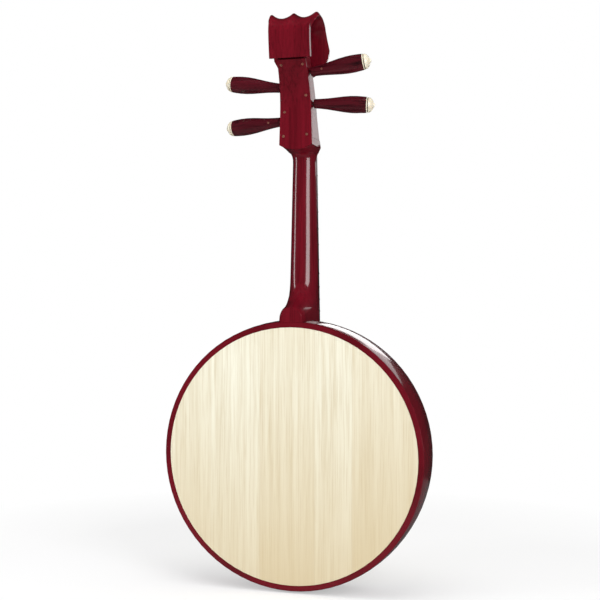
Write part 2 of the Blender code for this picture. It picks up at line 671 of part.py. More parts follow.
def worm_mesh(name, worm_centre, inner_end, outer_end):
    """Shaft with its worm, along local X; the worm is centred at worm_centre."""
    around = 16
    rows = 34
    lead = GEAR_PITCH / (2 * math.pi)
    root = WORM_PITCH_RADIUS - TOOTH_DROP
    ends = [(inner_end, SHAFT_RADIUS - 0.6 * MM), (worm_centre - WORM_LENGTH / 2 - 0.3 * MM, SHAFT_RADIUS - 0.6 * MM)]
    rings = []

    def ring(x, radius_at):
        points = []
        for i in range(around):
            angle = 2 * math.pi * i / around
            radius = radius_at(angle)
            points.append((x, radius * math.cos(angle), radius * math.sin(angle)))
        return points

    for x, radius in ends:
        rings.append(ring(x, lambda angle, r=radius: r))

    def thread(x):
        def radius_at(angle):
            offset = (x - worm_centre - lead * angle) / GEAR_PITCH
            offset = abs(offset - round(offset)) * GEAR_PITCH
            rise = (THREAD_HALF - offset) / TOOTH_SLOPE
            return WORM_PITCH_RADIUS + min(max(rise, -TOOTH_DROP), TOOTH_RISE)
        return radius_at

    for i in range(rows + 1):
        x = worm_centre - WORM_LENGTH / 2 + WORM_LENGTH * i / rows
        rings.append(ring(x, thread(x)))
    shoulder = worm_centre + WORM_LENGTH / 2 + 0.3 * MM
    for x, radius in ((shoulder, SHAFT_RADIUS), (outer_end, SHAFT_RADIUS)):
        rings.append(ring(x, lambda angle, r=radius: r))
    assert root > 0
    return loft(name, rings)


def post_mesh(name, side, post_front):
    """Worm wheel and string post in one, about local Z; side picks the way to the pegbox's front."""
    outline = tooth_outline(GEAR_TEETH)
    twist = GEAR_PITCH / (2 * math.pi * WORM_PITCH_RADIUS) / GEAR_RADIUS
    rings = []

    def ring(height, radius_of):
        points = []
        for radius, angle in outline:
            turned_by = angle + twist * min(max(height, -WHEEL_THICKNESS / 2), WHEEL_THICKNESS / 2)
            r = radius_of(radius)
            # Angle 0 faces the worm, which lies at local -Y
            points.append((r * math.sin(turned_by), -r * math.cos(turned_by), height))
        return points

    half = WHEEL_THICKNESS / 2
    tail = AXIS_DEPTH - COVER_THICKNESS - POST_TAIL
    front = post_front - AXIS_DEPTH
    waist = front - POST_WAIST_HALF - 1 * MM
    heights = [(-tail, POST_RADIUS), (-half - 0.01 * MM, POST_RADIUS), (-half, None), (0, None), (half, None),
               (half + 0.01 * MM, POST_RADIUS), (waist - POST_WAIST_HALF, POST_RADIUS),
               (waist - POST_WAIST_HALF + 0.8 * MM, POST_RADIUS - POST_WAIST),
               (waist + POST_WAIST_HALF - 0.8 * MM, POST_RADIUS - POST_WAIST),
               (waist + POST_WAIST_HALF, POST_RADIUS), (front, POST_RADIUS)]
    for height, radius in heights:
        place = side * height
        rings.append(ring(place, (lambda r: r) if radius is None else (lambda r, fixed=radius: fixed)))
    return loft(name, rings)


def handle_mesh(name):
    """Fluted handle along local X, from its inner end to the cap."""
    around = HANDLE_FLUTES * 4
    rings = []
    for i, (distance, radius) in enumerate(HANDLE_PROFILE):
        grow = smooth((distance - 6) / 20) * (1 - smooth((distance - 74) / 7))
        ring = []
        for k in range(around):
            angle = 2 * math.pi * k / around
            dip = HANDLE_FLUTE_DEPTH * grow * (1 + math.cos(HANDLE_FLUTES * angle)) / 2
            r = radius * MM - dip
            ring.append((HANDLE_GAP + distance * MM, r * math.cos(angle), r * math.sin(angle)))
        rings.append(ring)
    return loft(name, rings)


def make_tuner(index, pegbox, parts, cutters):
    number = str(index + 1)
    side, start, out, across, worm_centre = tuner_frame(index)
    matrix = frame_matrix(start, out, across)
    empty = bpy.data.objects.new("peg_axis_" + number, None)
    parts.objects.link(empty)
    empty.matrix_world = matrix

    handle = add_object("peg_handle_" + number, handle_mesh("peg_handle_" + number), "rosewood", parts)
    bore = rod("bore", (-5 * MM, 0, 0), (SHAFT_IN_HANDLE + FIT, 0, 0), SHAFT_RADIUS + FIT, 16)
    bore_cutter = add_object("handle_bore_" + number, bore, None, cutters)
    cap_start = HANDLE_GAP + HANDLE_PROFILE[-1][0] * MM + FIT
    profile = [(0, cap_start)]
    profile += [(radius * MM, cap_start + distance * MM) for distance, radius in CAP_PROFILE]
    cap = turned("peg_cap_" + number, profile[::-1], 24, "bone", parts)
    shaft_name = "worm_shaft_" + number
    inner = worm_centre - WORM_LENGTH / 2 - SHAFT_TAIL
    shaft = add_object(shaft_name, worm_mesh(shaft_name, worm_centre, inner, SHAFT_IN_HANDLE), "steel", parts)
    for obj in (handle, bore_cutter, shaft):
        obj.parent = empty
    cap.parent = empty
    cap.rotation_euler = (0, math.radians(90), 0)
    cut(handle, bore_cutter)

    centre = matrix @ Vector((worm_centre, CENTRES, 0))
    post_name = "string_post_" + number
    post = add_object(post_name, post_mesh(post_name, side, POST_FRONTS[index]), "steel", parts)
    post.matrix_world = frame_matrix(centre, out, across)

    inside = start - out * (CHEEK + 3 * MM)
    outside = start + out * 5 * MM
    cheek_hole = rod("cheek_hole", inside, outside, SHAFT_RADIUS + SHAFT_RUN, 16)
    cut(pegbox, add_object("cheek_hole_" + number, cheek_hole, None, cutters))
    front = out.cross(across) * side
    through = (FLOOR_DEPTH - AXIS_DEPTH - 1 * MM, FLOOR_DEPTH + FLOOR_THICKNESS - AXIS_DEPTH + 1 * MM)
    floor_hole = rod("floor_hole", centre + front * through[0], centre + front * through[1],
                     POST_RADIUS + POST_RUN, 16)
    cut(pegbox, add_object("floor_hole_" + number, floor_hole, None, cutters))
    waist = centre + front * (POST_FRONTS[index] - AXIS_DEPTH - POST_WAIST_HALF - 1 * MM)
    return side, waist


def fret_z(number):
    return NUT_Z - STRING_LENGTH * (1 - 2 ** (-number / 12))


def prism(name, outline):
    """A side outline (y, z) spread to the fingerboard's width at each point's height."""
    left = [(neck_half(z), y, z) for y, z in outline]
    right = [(-x, y, z) for x, y, z in left]
    return loft(name, [left, right])


def make_fingerboard(parts):
    back = FRONT_Y - FIT
    top = NUT_Z - FIT
    bottom = fret_z(FRETS) - FINGERBOARD_TAIL
    half_slot = FRET_TANG / 2 + FIT
    outline = [(back, top), (back, bottom), (FINGERBOARD_Y + 1.5 * MM, bottom), (FINGERBOARD_Y, bottom + 1.5 * MM)]
    for number in range(FRETS, 0, -1):
        z = fret_z(number)
        depth = FINGERBOARD_Y + FRET_TANG_DEPTH + FIT
        outline += [(FINGERBOARD_Y, z - half_slot), (depth, z - half_slot)]
        outline += [(depth, z + half_slot), (FINGERBOARD_Y, z + half_slot)]
    outline.append((FINGERBOARD_Y, top))
    add_object("fingerboard", prism("fingerboard", outline), "ebony", parts)
    for number in range(1, FRETS + 1):
        z = fret_z(number)
        base = FINGERBOARD_Y - FIT
        half = FRET_CROWN / 2
        tang = FRET_TANG / 2
        outline = [(base, z - half), (base - 0.6 * FRET_HEIGHT, z - 0.85 * half), (base - FRET_HEIGHT, z - 0.35 * half),
                   (base - FRET_HEIGHT, z + 0.35 * half), (base - 0.6 * FRET_HEIGHT, z + 0.85 * half),
                   (base, z + half), (base, z + tang), (base + FIT + FRET_TANG_DEPTH, z + tang),
                   (base + FIT + FRET_TANG_DEPTH, z - tang), (base, z - tang)]
        name = "fret_%02d" % number
        add_object(name, prism(name, outline), "brass", parts)


def string_x(index, spacing):
    return (1.5 - index) * spacing


def make_nut(parts, cutters):
    half = NECK_HALF_AT_NUT
    low = (-half, FINGERBOARD_Y - NUT_HEIGHT, NUT_Z)
    nut = add_object("nut", block("nut", low, (half, FRONT_Y - FIT, NUT_Z + NUT_LENGTH)), "bone", parts)
    edge = nut.modifiers.new("Edge", "BEVEL")
    edge.width = 0.6 * MM
    edge.segments = 1
    for i, radius in enumerate(STRING_RADII):
        x = string_x(i, STRING_SPACING_AT_NUT)
        slot = block("slot", (x - radius - FIT, low[1] - 2 * MM, NUT_Z - 3 * MM),
                     (x + radius + FIT, STRING_NUT_Y + radius + FIT, NUT_Z + NUT_LENGTH + 3 * MM))
        cut(nut, add_object("nut_slot_%d" % (i + 1), slot, None, cutters))


def string_at(index, z):
    """A point of the speaking length of a string."""
    t = (NUT_Z - z) / STRING_LENGTH
    x = mix(string_x(index, STRING_SPACING_AT_NUT), string_x(index, STRING_SPACING_AT_BRIDGE), t)
    return Vector((x, mix(STRING_NUT_Y, STRING_BRIDGE_Y, t), z))


def make_bridge(parts, cutters):
    middle = BRIDGE_TOP_Z - BRIDGE_LENGTH / 2
    base = FRONT_Y - FIT
    stations = ((1, 2.5, 0.55), (0.93, BRIDGE_WING / MM, 0.7), (0.48, 6, 0.9), (0.38, BRIDGE_HEIGHT / MM, 1))
    rings = []
    for u, height, length in list(stations) + [(-u, h, w) for u, h, w in reversed(stations)]:
        half = BRIDGE_LENGTH / 2 * length
        top = base - height * MM
        x = BRIDGE_HALF * u
        rings.append([(x, base, middle - half), (x, base, middle + half), (x, mix(base, top, 0.5), middle + half),
                      (x, top, middle + 0.72 * half), (x, top, middle - 0.2 * half),
                      (x, mix(base, top, 0.45), middle - half)])
    bridge = add_object("bridge", loft("bridge", rings), "rosewood", parts)
    for i, radius in enumerate(STRING_RADII):
        low = string_at(i, BRIDGE_TOP_Z - BRIDGE_LENGTH - 4 * MM)
        high = string_at(i, BRIDGE_TOP_Z + 4 * MM)
        hole = rod("string_hole", low, high, radius + FIT, 8)
        cut(bridge, add_object("string_hole_%d" % (i + 1), hole, None, cutters))


def make_string(index, side, waist, parts):
    """A taut string from behind the bridge, over the nut, to its post."""
    radius = STRING_RADII[index]
    nut_back = string_at(index, NUT_Z)
    nut_back.z += NUT_LENGTH + 0.5 * MM
    touch = waist + Vector((side * -(POST_RADIUS - POST_WAIST + radius + FIT), 0, 0))
    if index in (0, 3):
        touch = waist + Vector((side * (POST_RADIUS - POST_WAIST + radius + FIT), 0, 0))
    points = [string_at(index, BRIDGE_TOP_Z - BRIDGE_LENGTH - 1 * MM), string_at(index, NUT_Z), nut_back, touch]
    name = "string_%d" % (index + 1)
    curve = bpy.data.curves.new(name, "CURVE")
    curve.dimensions = "3D"
    spline = curve.splines.new("POLY")
    spline.points.add(len(points) - 1)
    for point, place in zip(spline.points, points):
        point.co = (*place, 1)
    curve.bevel_depth = radius
    curve.bevel_resolution = 2
    curve.use_fill_caps = True
    curve.materials.append(material("steel"))
    parts.objects.link(bpy.data.objects.new(name, curve))


def make_inlay(parts):
    """Bone cloud on the front of the scroll, a flat plate just proud of the wood."""
    outline = []
    for i in range(24):
        angle = 2 * math.pi * i / 24
        reach = 11 * MM * (1 + 0.16 * math.cos(3 * angle))
        outline.append((reach * math.sin(angle) * 1.2, reach * math.cos(angle)))
    front = CURL_CENTRE[0] - CURL_RADIUS - FIT
    middle = CURL_CENTRE[1] - 6 * MM
    rings = [[(x, front - depth, middle + z) for x, z in outline] for depth in (0, INLAY_THICKNESS)]
    add_object("head_inlay", loft("head_inlay", rings), "bone", parts)


def main():
    clear_scene()
    parts = new_collection("zhongruan")
    cutters = new_collection("cutters")
    make_body(parts, cutters)
    make_neck(parts, cutters)
    pegbox = make_pegbox(parts, cutters)
    make_cover(parts)
    make_head(parts, cutters)
    make_fingerboard(parts)
    make_nut(parts, cutters)
    make_bridge(parts, cutters)
    # Outer strings go to the lower posts, inner strings to the upper ones
    string_of_post = (0, 3, 1, 2)
    bpy.context.view_layer.update()
    for index in range(4):
        side, waist = make_tuner(index, pegbox, parts, cutters)
        make_string(string_of_post[index], side, waist, parts)


main()
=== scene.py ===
# %% [markdown]
# # A zhongruan, seen from behind
#
# A lesson in dressing a lute whose solids are already exact. The solids arrive as the frame: round body, neck,
# bent pegbox, curled scroll head, tuning pegs, frets and strings. The scene gives each one its material, adds the
# small fittings that are too fine for the solids, and then lights and photographs the instrument.

# %% Load the frame
import json
import math

import bmesh
import bpy
from mathutils import Matrix, Vector


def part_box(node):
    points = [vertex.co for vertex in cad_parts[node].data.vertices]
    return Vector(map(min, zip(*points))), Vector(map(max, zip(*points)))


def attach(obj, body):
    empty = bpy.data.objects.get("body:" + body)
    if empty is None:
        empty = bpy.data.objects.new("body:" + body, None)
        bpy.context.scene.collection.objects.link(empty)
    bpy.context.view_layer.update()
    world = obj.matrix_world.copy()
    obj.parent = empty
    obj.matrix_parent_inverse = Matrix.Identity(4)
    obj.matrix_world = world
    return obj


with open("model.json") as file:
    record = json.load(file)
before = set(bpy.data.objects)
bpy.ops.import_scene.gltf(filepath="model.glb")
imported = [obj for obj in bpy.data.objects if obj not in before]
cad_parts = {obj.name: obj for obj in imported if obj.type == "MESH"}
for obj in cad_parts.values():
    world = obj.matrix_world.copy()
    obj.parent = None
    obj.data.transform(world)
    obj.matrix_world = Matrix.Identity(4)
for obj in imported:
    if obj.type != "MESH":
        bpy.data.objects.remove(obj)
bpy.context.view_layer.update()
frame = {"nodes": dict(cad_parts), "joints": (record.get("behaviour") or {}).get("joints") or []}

nodes = frame["nodes"]

MM = 0.001

# %% [markdown]
# ## Places taken from the frame
#
# Everything the scene adds sits on something solid, so its place comes from the frame: the body's centre from the
# back board's box, the pegs' axes from their joints.

# %% Named places
board_low, board_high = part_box("back_board")
CENTRE_Z = (board_low[2] + board_high[2]) / 2
BACK_Y = board_high[1]
BOARD_RADIUS = (board_high[2] - board_low[2]) / 2
joints = {joint["name"]: joint for joint in frame["joints"]}
print("body centre", round(CENTRE_Z, 4), "m up, board radius", round(BOARD_RADIUS, 4), "m")

# %% [markdown]
# ## Small node helpers
#
# `Nodes` wraps a node tree so that a material reads as a short list of steps. `wire` joins an output to an input,
# or sets the input when it is given a plain value.


# %% Node helpers
class Nodes:
    def __init__(self, tree):
        self.tree = tree

    def add(self, kind, operation=None, **settings):
        node = self.tree.nodes.new(kind)
        if operation:
            node.operation = operation
        for key, value in settings.items():
            setattr(node, key, value)
        return node

    def wire(self, value, socket):
        if isinstance(value, bpy.types.NodeSocket):
            self.tree.links.new(value, socket)
        else:
            socket.default_value = value

    def math(self, operation, first, second=0.0):
        node = self.add("ShaderNodeMath", operation)
        self.wire(first, node.inputs[0])
        self.wire(second, node.inputs[1])
        return node.outputs[0]

    def noise(self, vector, scale, detail=3.0, roughness=0.5):
        node = self.add("ShaderNodeTexNoise")
        self.wire(vector, node.inputs["Vector"])
        self.wire(scale, node.inputs["Scale"])
        node.inputs["Detail"].default_value = detail
        node.inputs["Roughness"].default_value = roughness
        return node.outputs["Fac"]

    def mix(self, factor, first, second, blend="MIX"):
        node = self.add("ShaderNodeMix", data_type="RGBA", blend_type=blend)
        self.wire(factor, node.inputs["Factor"])
        self.wire(first, node.inputs["A"])
        self.wire(second, node.inputs["B"])
        return node.outputs["Result"]

    def spread(self, value, low, high, to_low=0.0, to_high=1.0):
        node = self.add("ShaderNodeMapRange")
        for socket, number in zip(node.inputs, (value, low, high, to_low, to_high)):
            self.wire(number, socket)
        return node.outputs[0]

    def stretched(self, vector, scale):
        node = self.add("ShaderNodeMapping")
        self.wire(vector, node.inputs["Vector"])
        node.inputs["Scale"].default_value = scale
        return node.outputs["Vector"]


def shader_group(name, inputs, outputs):
    """An empty shader node group with the given sockets: inputs and outputs are (name, type, default)."""
    tree = bpy.data.node_groups.new(name, "ShaderNodeTree")
    for label, kind, default in inputs:
        socket = tree.interface.new_socket(label, in_out="INPUT", socket_type="NodeSocket" + kind)
        if default is not None:
            socket.default_value = default
    for label, kind in outputs:
        tree.interface.new_socket(label, in_out="OUTPUT", socket_type="NodeSocket" + kind)
    build = Nodes(tree)
    return build, build.add("NodeGroupInput").outputs, build.add("NodeGroupOutput").inputs


# %% [markdown]
# ## Shared effects
#
# Two groups serve every wooden piece. **Long grain** draws fibres that run along one direction, with pores between
# them. **Hand polish** lets the gloss drift a little, as on a piece that has been rubbed and handled.


# %% Long grain
def make_long_grain():
    build, given, made = shader_group(
        "Long grain",
        (("Vector", "Vector", None), ("Fibres", "Float", 900.0), ("Bands", "Float", 60.0),
         ("Light", "Color", (0.8, 0.7, 0.5, 1)), ("Dark", "Color", (0.5, 0.4, 0.25, 1)), ("Depth", "Float", 0.5)),
        (("Colour", "Color"), ("Height", "Float")))
    fine = build.noise(given["Vector"], given["Fibres"], 4.0, 0.6)
    broad = build.noise(given["Vector"], given["Bands"], 2.0, 0.45)
    fine = build.spread(fine, 0.46, 0.66)
    broad = build.spread(broad, 0.35, 0.68)
    both = build.math("ADD", build.math("MULTIPLY", fine, 0.55), build.math("MULTIPLY", broad, 0.45))
    amount = build.math("MULTIPLY", both, given["Depth"])
    build.wire(build.mix(amount, given["Light"], given["Dark"]), made["Colour"])
    build.wire(build.math("SUBTRACT", 1.0, fine), made["Height"])
    return build.tree


# %% Hand polish
def make_hand_polish():
    build, given, made = shader_group(
        "Hand polish",
        (("Vector", "Vector", None), ("Roughness", "Float", 0.2), ("Drift", "Float", 0.05)),
        (("Roughness", "Float"),))
    cloud = build.noise(given["Vector"], 26.0, 4.0, 0.55)
    drift = build.math("MULTIPLY", build.math("SUBTRACT", cloud, 0.5), given["Drift"])
    build.wire(build.math("ADD", given["Roughness"], drift), made["Roughness"])
    return build.tree


long_grain = make_long_grain()
hand_polish = make_hand_polish()
print("groups:", long_grain.name, "and", hand_polish.name)

# %% [markdown]
# ## Grain directions
#
# A fibre looks long because the noise is squeezed along it. Boards and neck have their fibres along Z. The rim is
# bent wood, so its fibres run round the body: there the noise reads the angle, the depth and the radius.


# %% Coordinates
def straight_fibres(build, along=(1.0, 1.0, 0.02)):
    place = build.add("ShaderNodeTexCoord").outputs["Object"]
    return place, build.stretched(place, along)


def bent_fibres(build):
    place = build.add("ShaderNodeTexCoord").outputs["Object"]
    parts = build.add("ShaderNodeSeparateXYZ")
    build.wire(place, parts.inputs[0])
    height = build.math("SUBTRACT", parts.outputs["Z"], CENTRE_Z)
    angle = build.math("ARCTAN2", parts.outputs["X"], height)
    joined = build.add("ShaderNodeCombineXYZ")
    build.wire(build.math("MULTIPLY", angle, 0.02 * BOARD_RADIUS), joined.inputs["X"])
    build.wire(parts.outputs["Y"], joined.inputs["Y"])
    return place, joined.outputs[0]


# %% [markdown]
# ## Materials
#
# Each material is a Principled shader fed by the groups. The lacquer is a dark red wood under a clear, very smooth
# coat; the coat carries the hard reflections and the wood underneath stays deep.


# %% Material maker
def new_material(name):
    made = bpy.data.materials.new(name)
    made.use_nodes = True
    build = Nodes(made.node_tree)
    return made, build, made.node_tree.nodes["Principled BSDF"].inputs


def use_group(build, group, **values):
    node = build.add("ShaderNodeGroup", node_tree=group)
    for name, value in values.items():
        build.wire(value, node.inputs[name])
    return node.outputs


def bump(build, height, strength, distance):
    node = build.add("ShaderNodeBump")
    build.wire(height, node.inputs["Height"])
    node.inputs["Strength"].default_value = strength
    node.inputs["Distance"].default_value = distance
    return node.outputs["Normal"]


def wood(name, light, dark, fibres, roughness, drift=0.06, depth=0.6, coat=0.0, specular=0.5,
         band_share=0.12, grain_height=0.00004, coordinates=straight_fibres):
    made, build, shader = new_material(name)
    place, along = coordinates(build)
    grain = use_group(build, long_grain, Vector=along, Fibres=fibres, Bands=fibres * band_share, Light=light,
                      Dark=dark, Depth=depth)
    polish = use_group(build, hand_polish, Vector=place, Roughness=roughness, Drift=drift)
    build.wire(grain["Colour"], shader["Base Color"])
    build.wire(polish["Roughness"], shader["Roughness"])
    shader["Coat Weight"].default_value = coat
    shader["Coat Roughness"].default_value = 0.09
    shader["Specular IOR Level"].default_value = specular
    if grain_height:
        build.wire(bump(build, grain["Height"], 0.5, grain_height), shader["Normal"])
    return made, build, shader


# %% Lacquered wood
LACQUER_LIGHT = (0.155, 0.004, 0.012, 1)
LACQUER_DARK = (0.062, 0.001, 0.004, 1)
lacquer, _, _ = wood("dark red lacquer", LACQUER_LIGHT, LACQUER_DARK, 420.0, 0.32, depth=0.9, coat=1.0,
                     specular=0.1, grain_height=0)
rim_lacquer, _, _ = wood("dark red lacquer on bent wood", LACQUER_LIGHT, LACQUER_DARK, 420.0, 0.32, depth=0.9,
                         coat=1.0, specular=0.1, grain_height=0, coordinates=bent_fibres)
print("lacquers:", lacquer.name, "/", rim_lacquer.name)

# %% Pegs and bridge
ROSEWOOD_LIGHT = (0.085, 0.005, 0.011, 1)
ROSEWOOD_DARK = (0.007, 0.001, 0.002, 1)
rosewood, _, _ = wood("dark rosewood", ROSEWOOD_LIGHT, ROSEWOOD_DARK, 300.0, 0.3, depth=1.0, coat=0.8,
                      specular=0.2, grain_height=0.00003)
peg_wood, _, _ = wood("dark rosewood, fibres along the peg", ROSEWOOD_LIGHT, ROSEWOOD_DARK, 300.0, 0.3, depth=1.0,
                      coat=0.8, specular=0.2, grain_height=0.00003,
                      coordinates=lambda build: straight_fibres(build, (0.02, 1.0, 1.0)))
ebony, _, _ = wood("ebony", (0.022, 0.014, 0.012, 1), (0.008, 0.006, 0.006, 1), 900.0, 0.36)
spruce, _, _ = wood("bare spruce", (0.62, 0.44, 0.25, 1), (0.42, 0.27, 0.13, 1), 500.0, 0.65,
                    coordinates=lambda build: straight_fibres(build, (0.02, 1.0, 1.0)))

# %% [markdown]
# ## The boards
#
# The boards are pale paulownia, glued from strips. Fine fibres run up the board, each strip has its own warmth, the
# joints between strips show as faint lines, and the colour turns warmer and darker towards the bottom.

# %% Board wood
STRIP_EDGES = (-96 * MM, -38 * MM, 49 * MM, 128 * MM)
STRIP_WARMTH = (0.30, 0.12, 0.22, 0.05, 0.16)


def board_wood():
    made, build, shader = wood("pale paulownia", (0.845, 0.83, 0.70, 1), (0.56, 0.47, 0.30, 1), 640.0, 0.5,
                               depth=0.72, specular=0.3, band_share=0.2, grain_height=0.00006)
    grain_colour = shader["Base Color"].links[0].from_socket
    place = build.add("ShaderNodeTexCoord").outputs["Object"]
    parts = build.add("ShaderNodeSeparateXYZ")
    build.wire(place, parts.inputs[0])
    warmth = STRIP_WARMTH[0]
    seam = 0.0
    for edge, before, after in zip(STRIP_EDGES, STRIP_WARMTH, STRIP_WARMTH[1:]):
        past = build.math("GREATER_THAN", parts.outputs["X"], edge)
        warmth = build.math("ADD", warmth, build.math("MULTIPLY", past, after - before))
        near = build.math("ABSOLUTE", build.math("SUBTRACT", parts.outputs["X"], edge))
        line = build.spread(near, 0.0, 0.5 * MM, 1.0, 0.0)
        seam = build.math("MAXIMUM", seam, line)
    # The colour turns warmer and darker towards the bottom of the board.
    lower = build.spread(parts.outputs["Z"], CENTRE_Z + 0.6 * BOARD_RADIUS, CENTRE_Z - BOARD_RADIUS, 0.0, 0.6)
    colour = build.mix(build.math("ADD", warmth, lower), grain_colour, (0.61, 0.49, 0.29, 1))
    colour = build.mix(build.math("MULTIPLY", seam, 0.22), colour, (0.38, 0.26, 0.13, 1))
    build.wire(colour, shader["Base Color"])
    return made


paulownia = board_wood()
print("board:", paulownia.name, "with", len(STRIP_EDGES) + 1, "strips")


# %% Bone, horn, steel and brass
def smooth_material(name, light, dark, roughness, metallic=0.0, coat=0.0, scale=180.0, subsurface=0.0):
    made, build, shader = new_material(name)
    place = build.add("ShaderNodeTexCoord").outputs["Object"]
    cloud = build.noise(place, scale, 4.0, 0.6)
    build.wire(build.mix(build.spread(cloud, 0.3, 0.7), light, dark), shader["Base Color"])
    polish = use_group(build, hand_polish, Vector=place, Roughness=roughness, Drift=0.08)
    build.wire(polish["Roughness"], shader["Roughness"])
    shader["Metallic"].default_value = metallic
    shader["Coat Weight"].default_value = coat
    shader["Subsurface Weight"].default_value = subsurface
    shader["Subsurface Radius"].default_value = (0.002, 0.0015, 0.001)
    return made


bone = smooth_material("polished bone", (0.82, 0.76, 0.62, 1), (0.70, 0.62, 0.46, 1), 0.3, coat=0.3,
                       subsurface=0.15)
horn = smooth_material("black horn", (0.02, 0.016, 0.015, 1), (0.008, 0.007, 0.007, 1), 0.25, coat=0.4)
steel = smooth_material("polished steel", (0.62, 0.61, 0.6, 1), (0.5, 0.49, 0.48, 1), 0.26, metallic=1.0)
brass = smooth_material("polished brass", (0.72, 0.52, 0.24, 1), (0.6, 0.4, 0.16, 1), 0.28, metallic=1.0)
aged_brass = smooth_material("dark brass screws", (0.50, 0.22, 0.15, 1), (0.30, 0.11, 0.08, 1),
                              0.42, metallic=0.7)
print("small materials:", ", ".join(m.name for m in (bone, horn, steel, brass, aged_brass)))


# %% [markdown]
# ## Dressing the solids
#
# The solids keep their shapes. Each takes the material of its real piece. Their faces arrive apart, so three
# modifiers join them, split them again along the real edges, and even out the shading of the curves between.


# %% Dress each solid
WELD_DISTANCE = 0.01 * MM


def dress(name, material, angle=32):
    obj = nodes[name]
    mesh = obj.data
    mesh.materials.clear()
    mesh.materials.append(material)
    if mesh.has_custom_normals:
        mesh.attributes.remove(mesh.attributes["custom_normal"])
    mesh.shade_smooth()
    obj.modifiers.new("Join the faces", "WELD").merge_threshold = WELD_DISTANCE
    split = obj.modifiers.new("Keep the real edges", "EDGE_SPLIT")
    split.split_angle = math.radians(angle)
    split.use_edge_sharp = False
    obj.modifiers.new("Even shading", "WEIGHTED_NORMAL").keep_sharp = True


DRESS = {
    "body_rim": rim_lacquer,
    "neck": lacquer,
    "pegbox": lacquer,
    "pegbox_cover": lacquer,
    "head_scroll": lacquer,
    "back_board": paulownia,
    "soundboard": paulownia,
    "front_brace_upper": spruce,
    "front_brace_lower": spruce,
    "back_brace_upper": spruce,
    "back_brace_lower": spruce,
    "sound_post": spruce,
    "fingerboard": ebony,
    "nut": bone,
    "bridge": rosewood,
}
for name, material in DRESS.items():
    dress(name, material)
for name in nodes:
    if name.startswith("fret_"):
        dress(name, brass)
    elif name.startswith(("string_post_", "worm_shaft_", "string_")):
        dress(name, steel)
    elif name.startswith("peg_handle_"):
        dress(name, peg_wood, 25)
    elif name.startswith("peg_cap_"):
        dress(name, bone, 40)
print("dressed", len(nodes), "solids")

# %% [markdown]
# ## Small fittings
#
# These sit on the solids: six screws that hold the pegbox cover, black rings and tips on the pegs' bone caps, and a
# set screw in two of the handles.


# %% Making small pieces
def piece(name, mesh, material, body, smooth_angle=35):
    obj = bpy.data.objects.new(name, mesh)
    bpy.context.scene.collection.objects.link(obj)
    mesh.materials.append(material)
    mesh.shade_smooth()
    mesh.set_sharp_from_angle(angle=math.radians(smooth_angle))
    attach(obj, body)
    return obj


def facing(origin, direction):
    """A matrix whose Z axis runs along direction, placed at origin."""
    turn = Vector(direction).to_track_quat("Z", "Y").to_matrix().to_4x4()
    return Matrix.Translation(origin) @ turn


def lathe(name, profile, matrix, segments=32):
    """A solid of revolution about local Z; profile is (radius, height) from the top's axis to the bottom's axis."""
    bm = bmesh.new()
    rows = []
    for radius, height in profile:
        if radius == 0:
            rows.append([bm.verts.new((0, 0, height))])
            continue
        angles = [2 * math.pi * i / segments for i in range(segments)]
        rows.append([bm.verts.new((radius * math.cos(a), radius * math.sin(a), height)) for a in angles])
    for upper, lower in zip(rows, rows[1:]):
        for i in range(segments):
            j = (i + 1) % segments
            corners = [upper[i % len(upper)], lower[i % len(lower)], lower[j % len(lower)], upper[j % len(upper)]]
            unique = list(dict.fromkeys(corners))
            if len(unique) > 2:
                bm.faces.new(unique)
    bmesh.ops.recalc_face_normals(bm, faces=bm.faces)
    bmesh.ops.transform(bm, matrix=matrix, verts=bm.verts)
    mesh = bpy.data.meshes.new(name)
    bm.to_mesh(mesh)
    bm.free()
    return mesh


def surface_point(name, x, z):
    """The point of a solid's back surface at width x and height z, and the surface's direction there."""
    obj = nodes[name]
    origin = Vector((x, 1.0, z))
    hit, place, normal, _ = obj.ray_cast(origin, Vector((0, -1, 0)))
    return (place, normal) if hit else (Vector((x, BACK_Y, z)), Vector((0, 1, 0)))


# %% Cover screws
SCREW_RADIUS = 2.1 * MM
SCREW_HEIGHT = 0.45 * MM
SCREW_PLACES = ((17, 801), (-17, 801), (-17.5, 757), (17.3, 733), (19.3, 696), (-18, 698))


def screw_head(name, place, normal, turn):
    """A slightly domed head, with its cross cut as a dip in the middle."""
    bm = bmesh.new()
    rings = 7
    around = 40
    rows = [[bm.verts.new((0, 0, SCREW_HEIGHT - 0.35 * MM))]]
    for r in range(1, rings + 1):
        share = r / rings
        row = []
        for i in range(around):
            angle = 2 * math.pi * i / around
            x = SCREW_RADIUS * share * math.cos(angle)
            y = SCREW_RADIUS * share * math.sin(angle)
            in_cross = min(abs(x), abs(y)) < 0.28 * MM and share < 0.72
            height = SCREW_HEIGHT * (1 - 0.35 * share ** 2) - (0.35 * MM if in_cross else 0)
            row.append(bm.verts.new((x, y, height)))
        rows.append(row)
    low = [bm.verts.new((v.co.x, v.co.y, -0.3 * MM)) for v in rows[-1]]
    rows.append(low)
    for inner, outer in zip(rows, rows[1:]):
        for i in range(around):
            j = (i + 1) % around
            corners = [inner[i % len(inner)], outer[i], outer[j], inner[j % len(inner)]]
            bm.faces.new(list(dict.fromkeys(corners)))
    bm.faces.new(low)
    bmesh.ops.recalc_face_normals(bm, faces=bm.faces)
    matrix = facing(place, normal) @ Matrix.Rotation(turn, 4, "Z")
    bmesh.ops.transform(bm, matrix=matrix, verts=bm.verts)
    mesh = bpy.data.meshes.new(name)
    bm.to_mesh(mesh)
    bm.free()
    return mesh


for i, (x, z) in enumerate(SCREW_PLACES):
    place, normal = surface_point("pegbox_cover", x * MM, z * MM)
    name = "cover_screw_%d" % (i + 1)
    piece(name, screw_head(name, place, normal, 0.5 + 0.9 * i), aged_brass, "instrument", 30)
print("cover screws:", len(SCREW_PLACES))


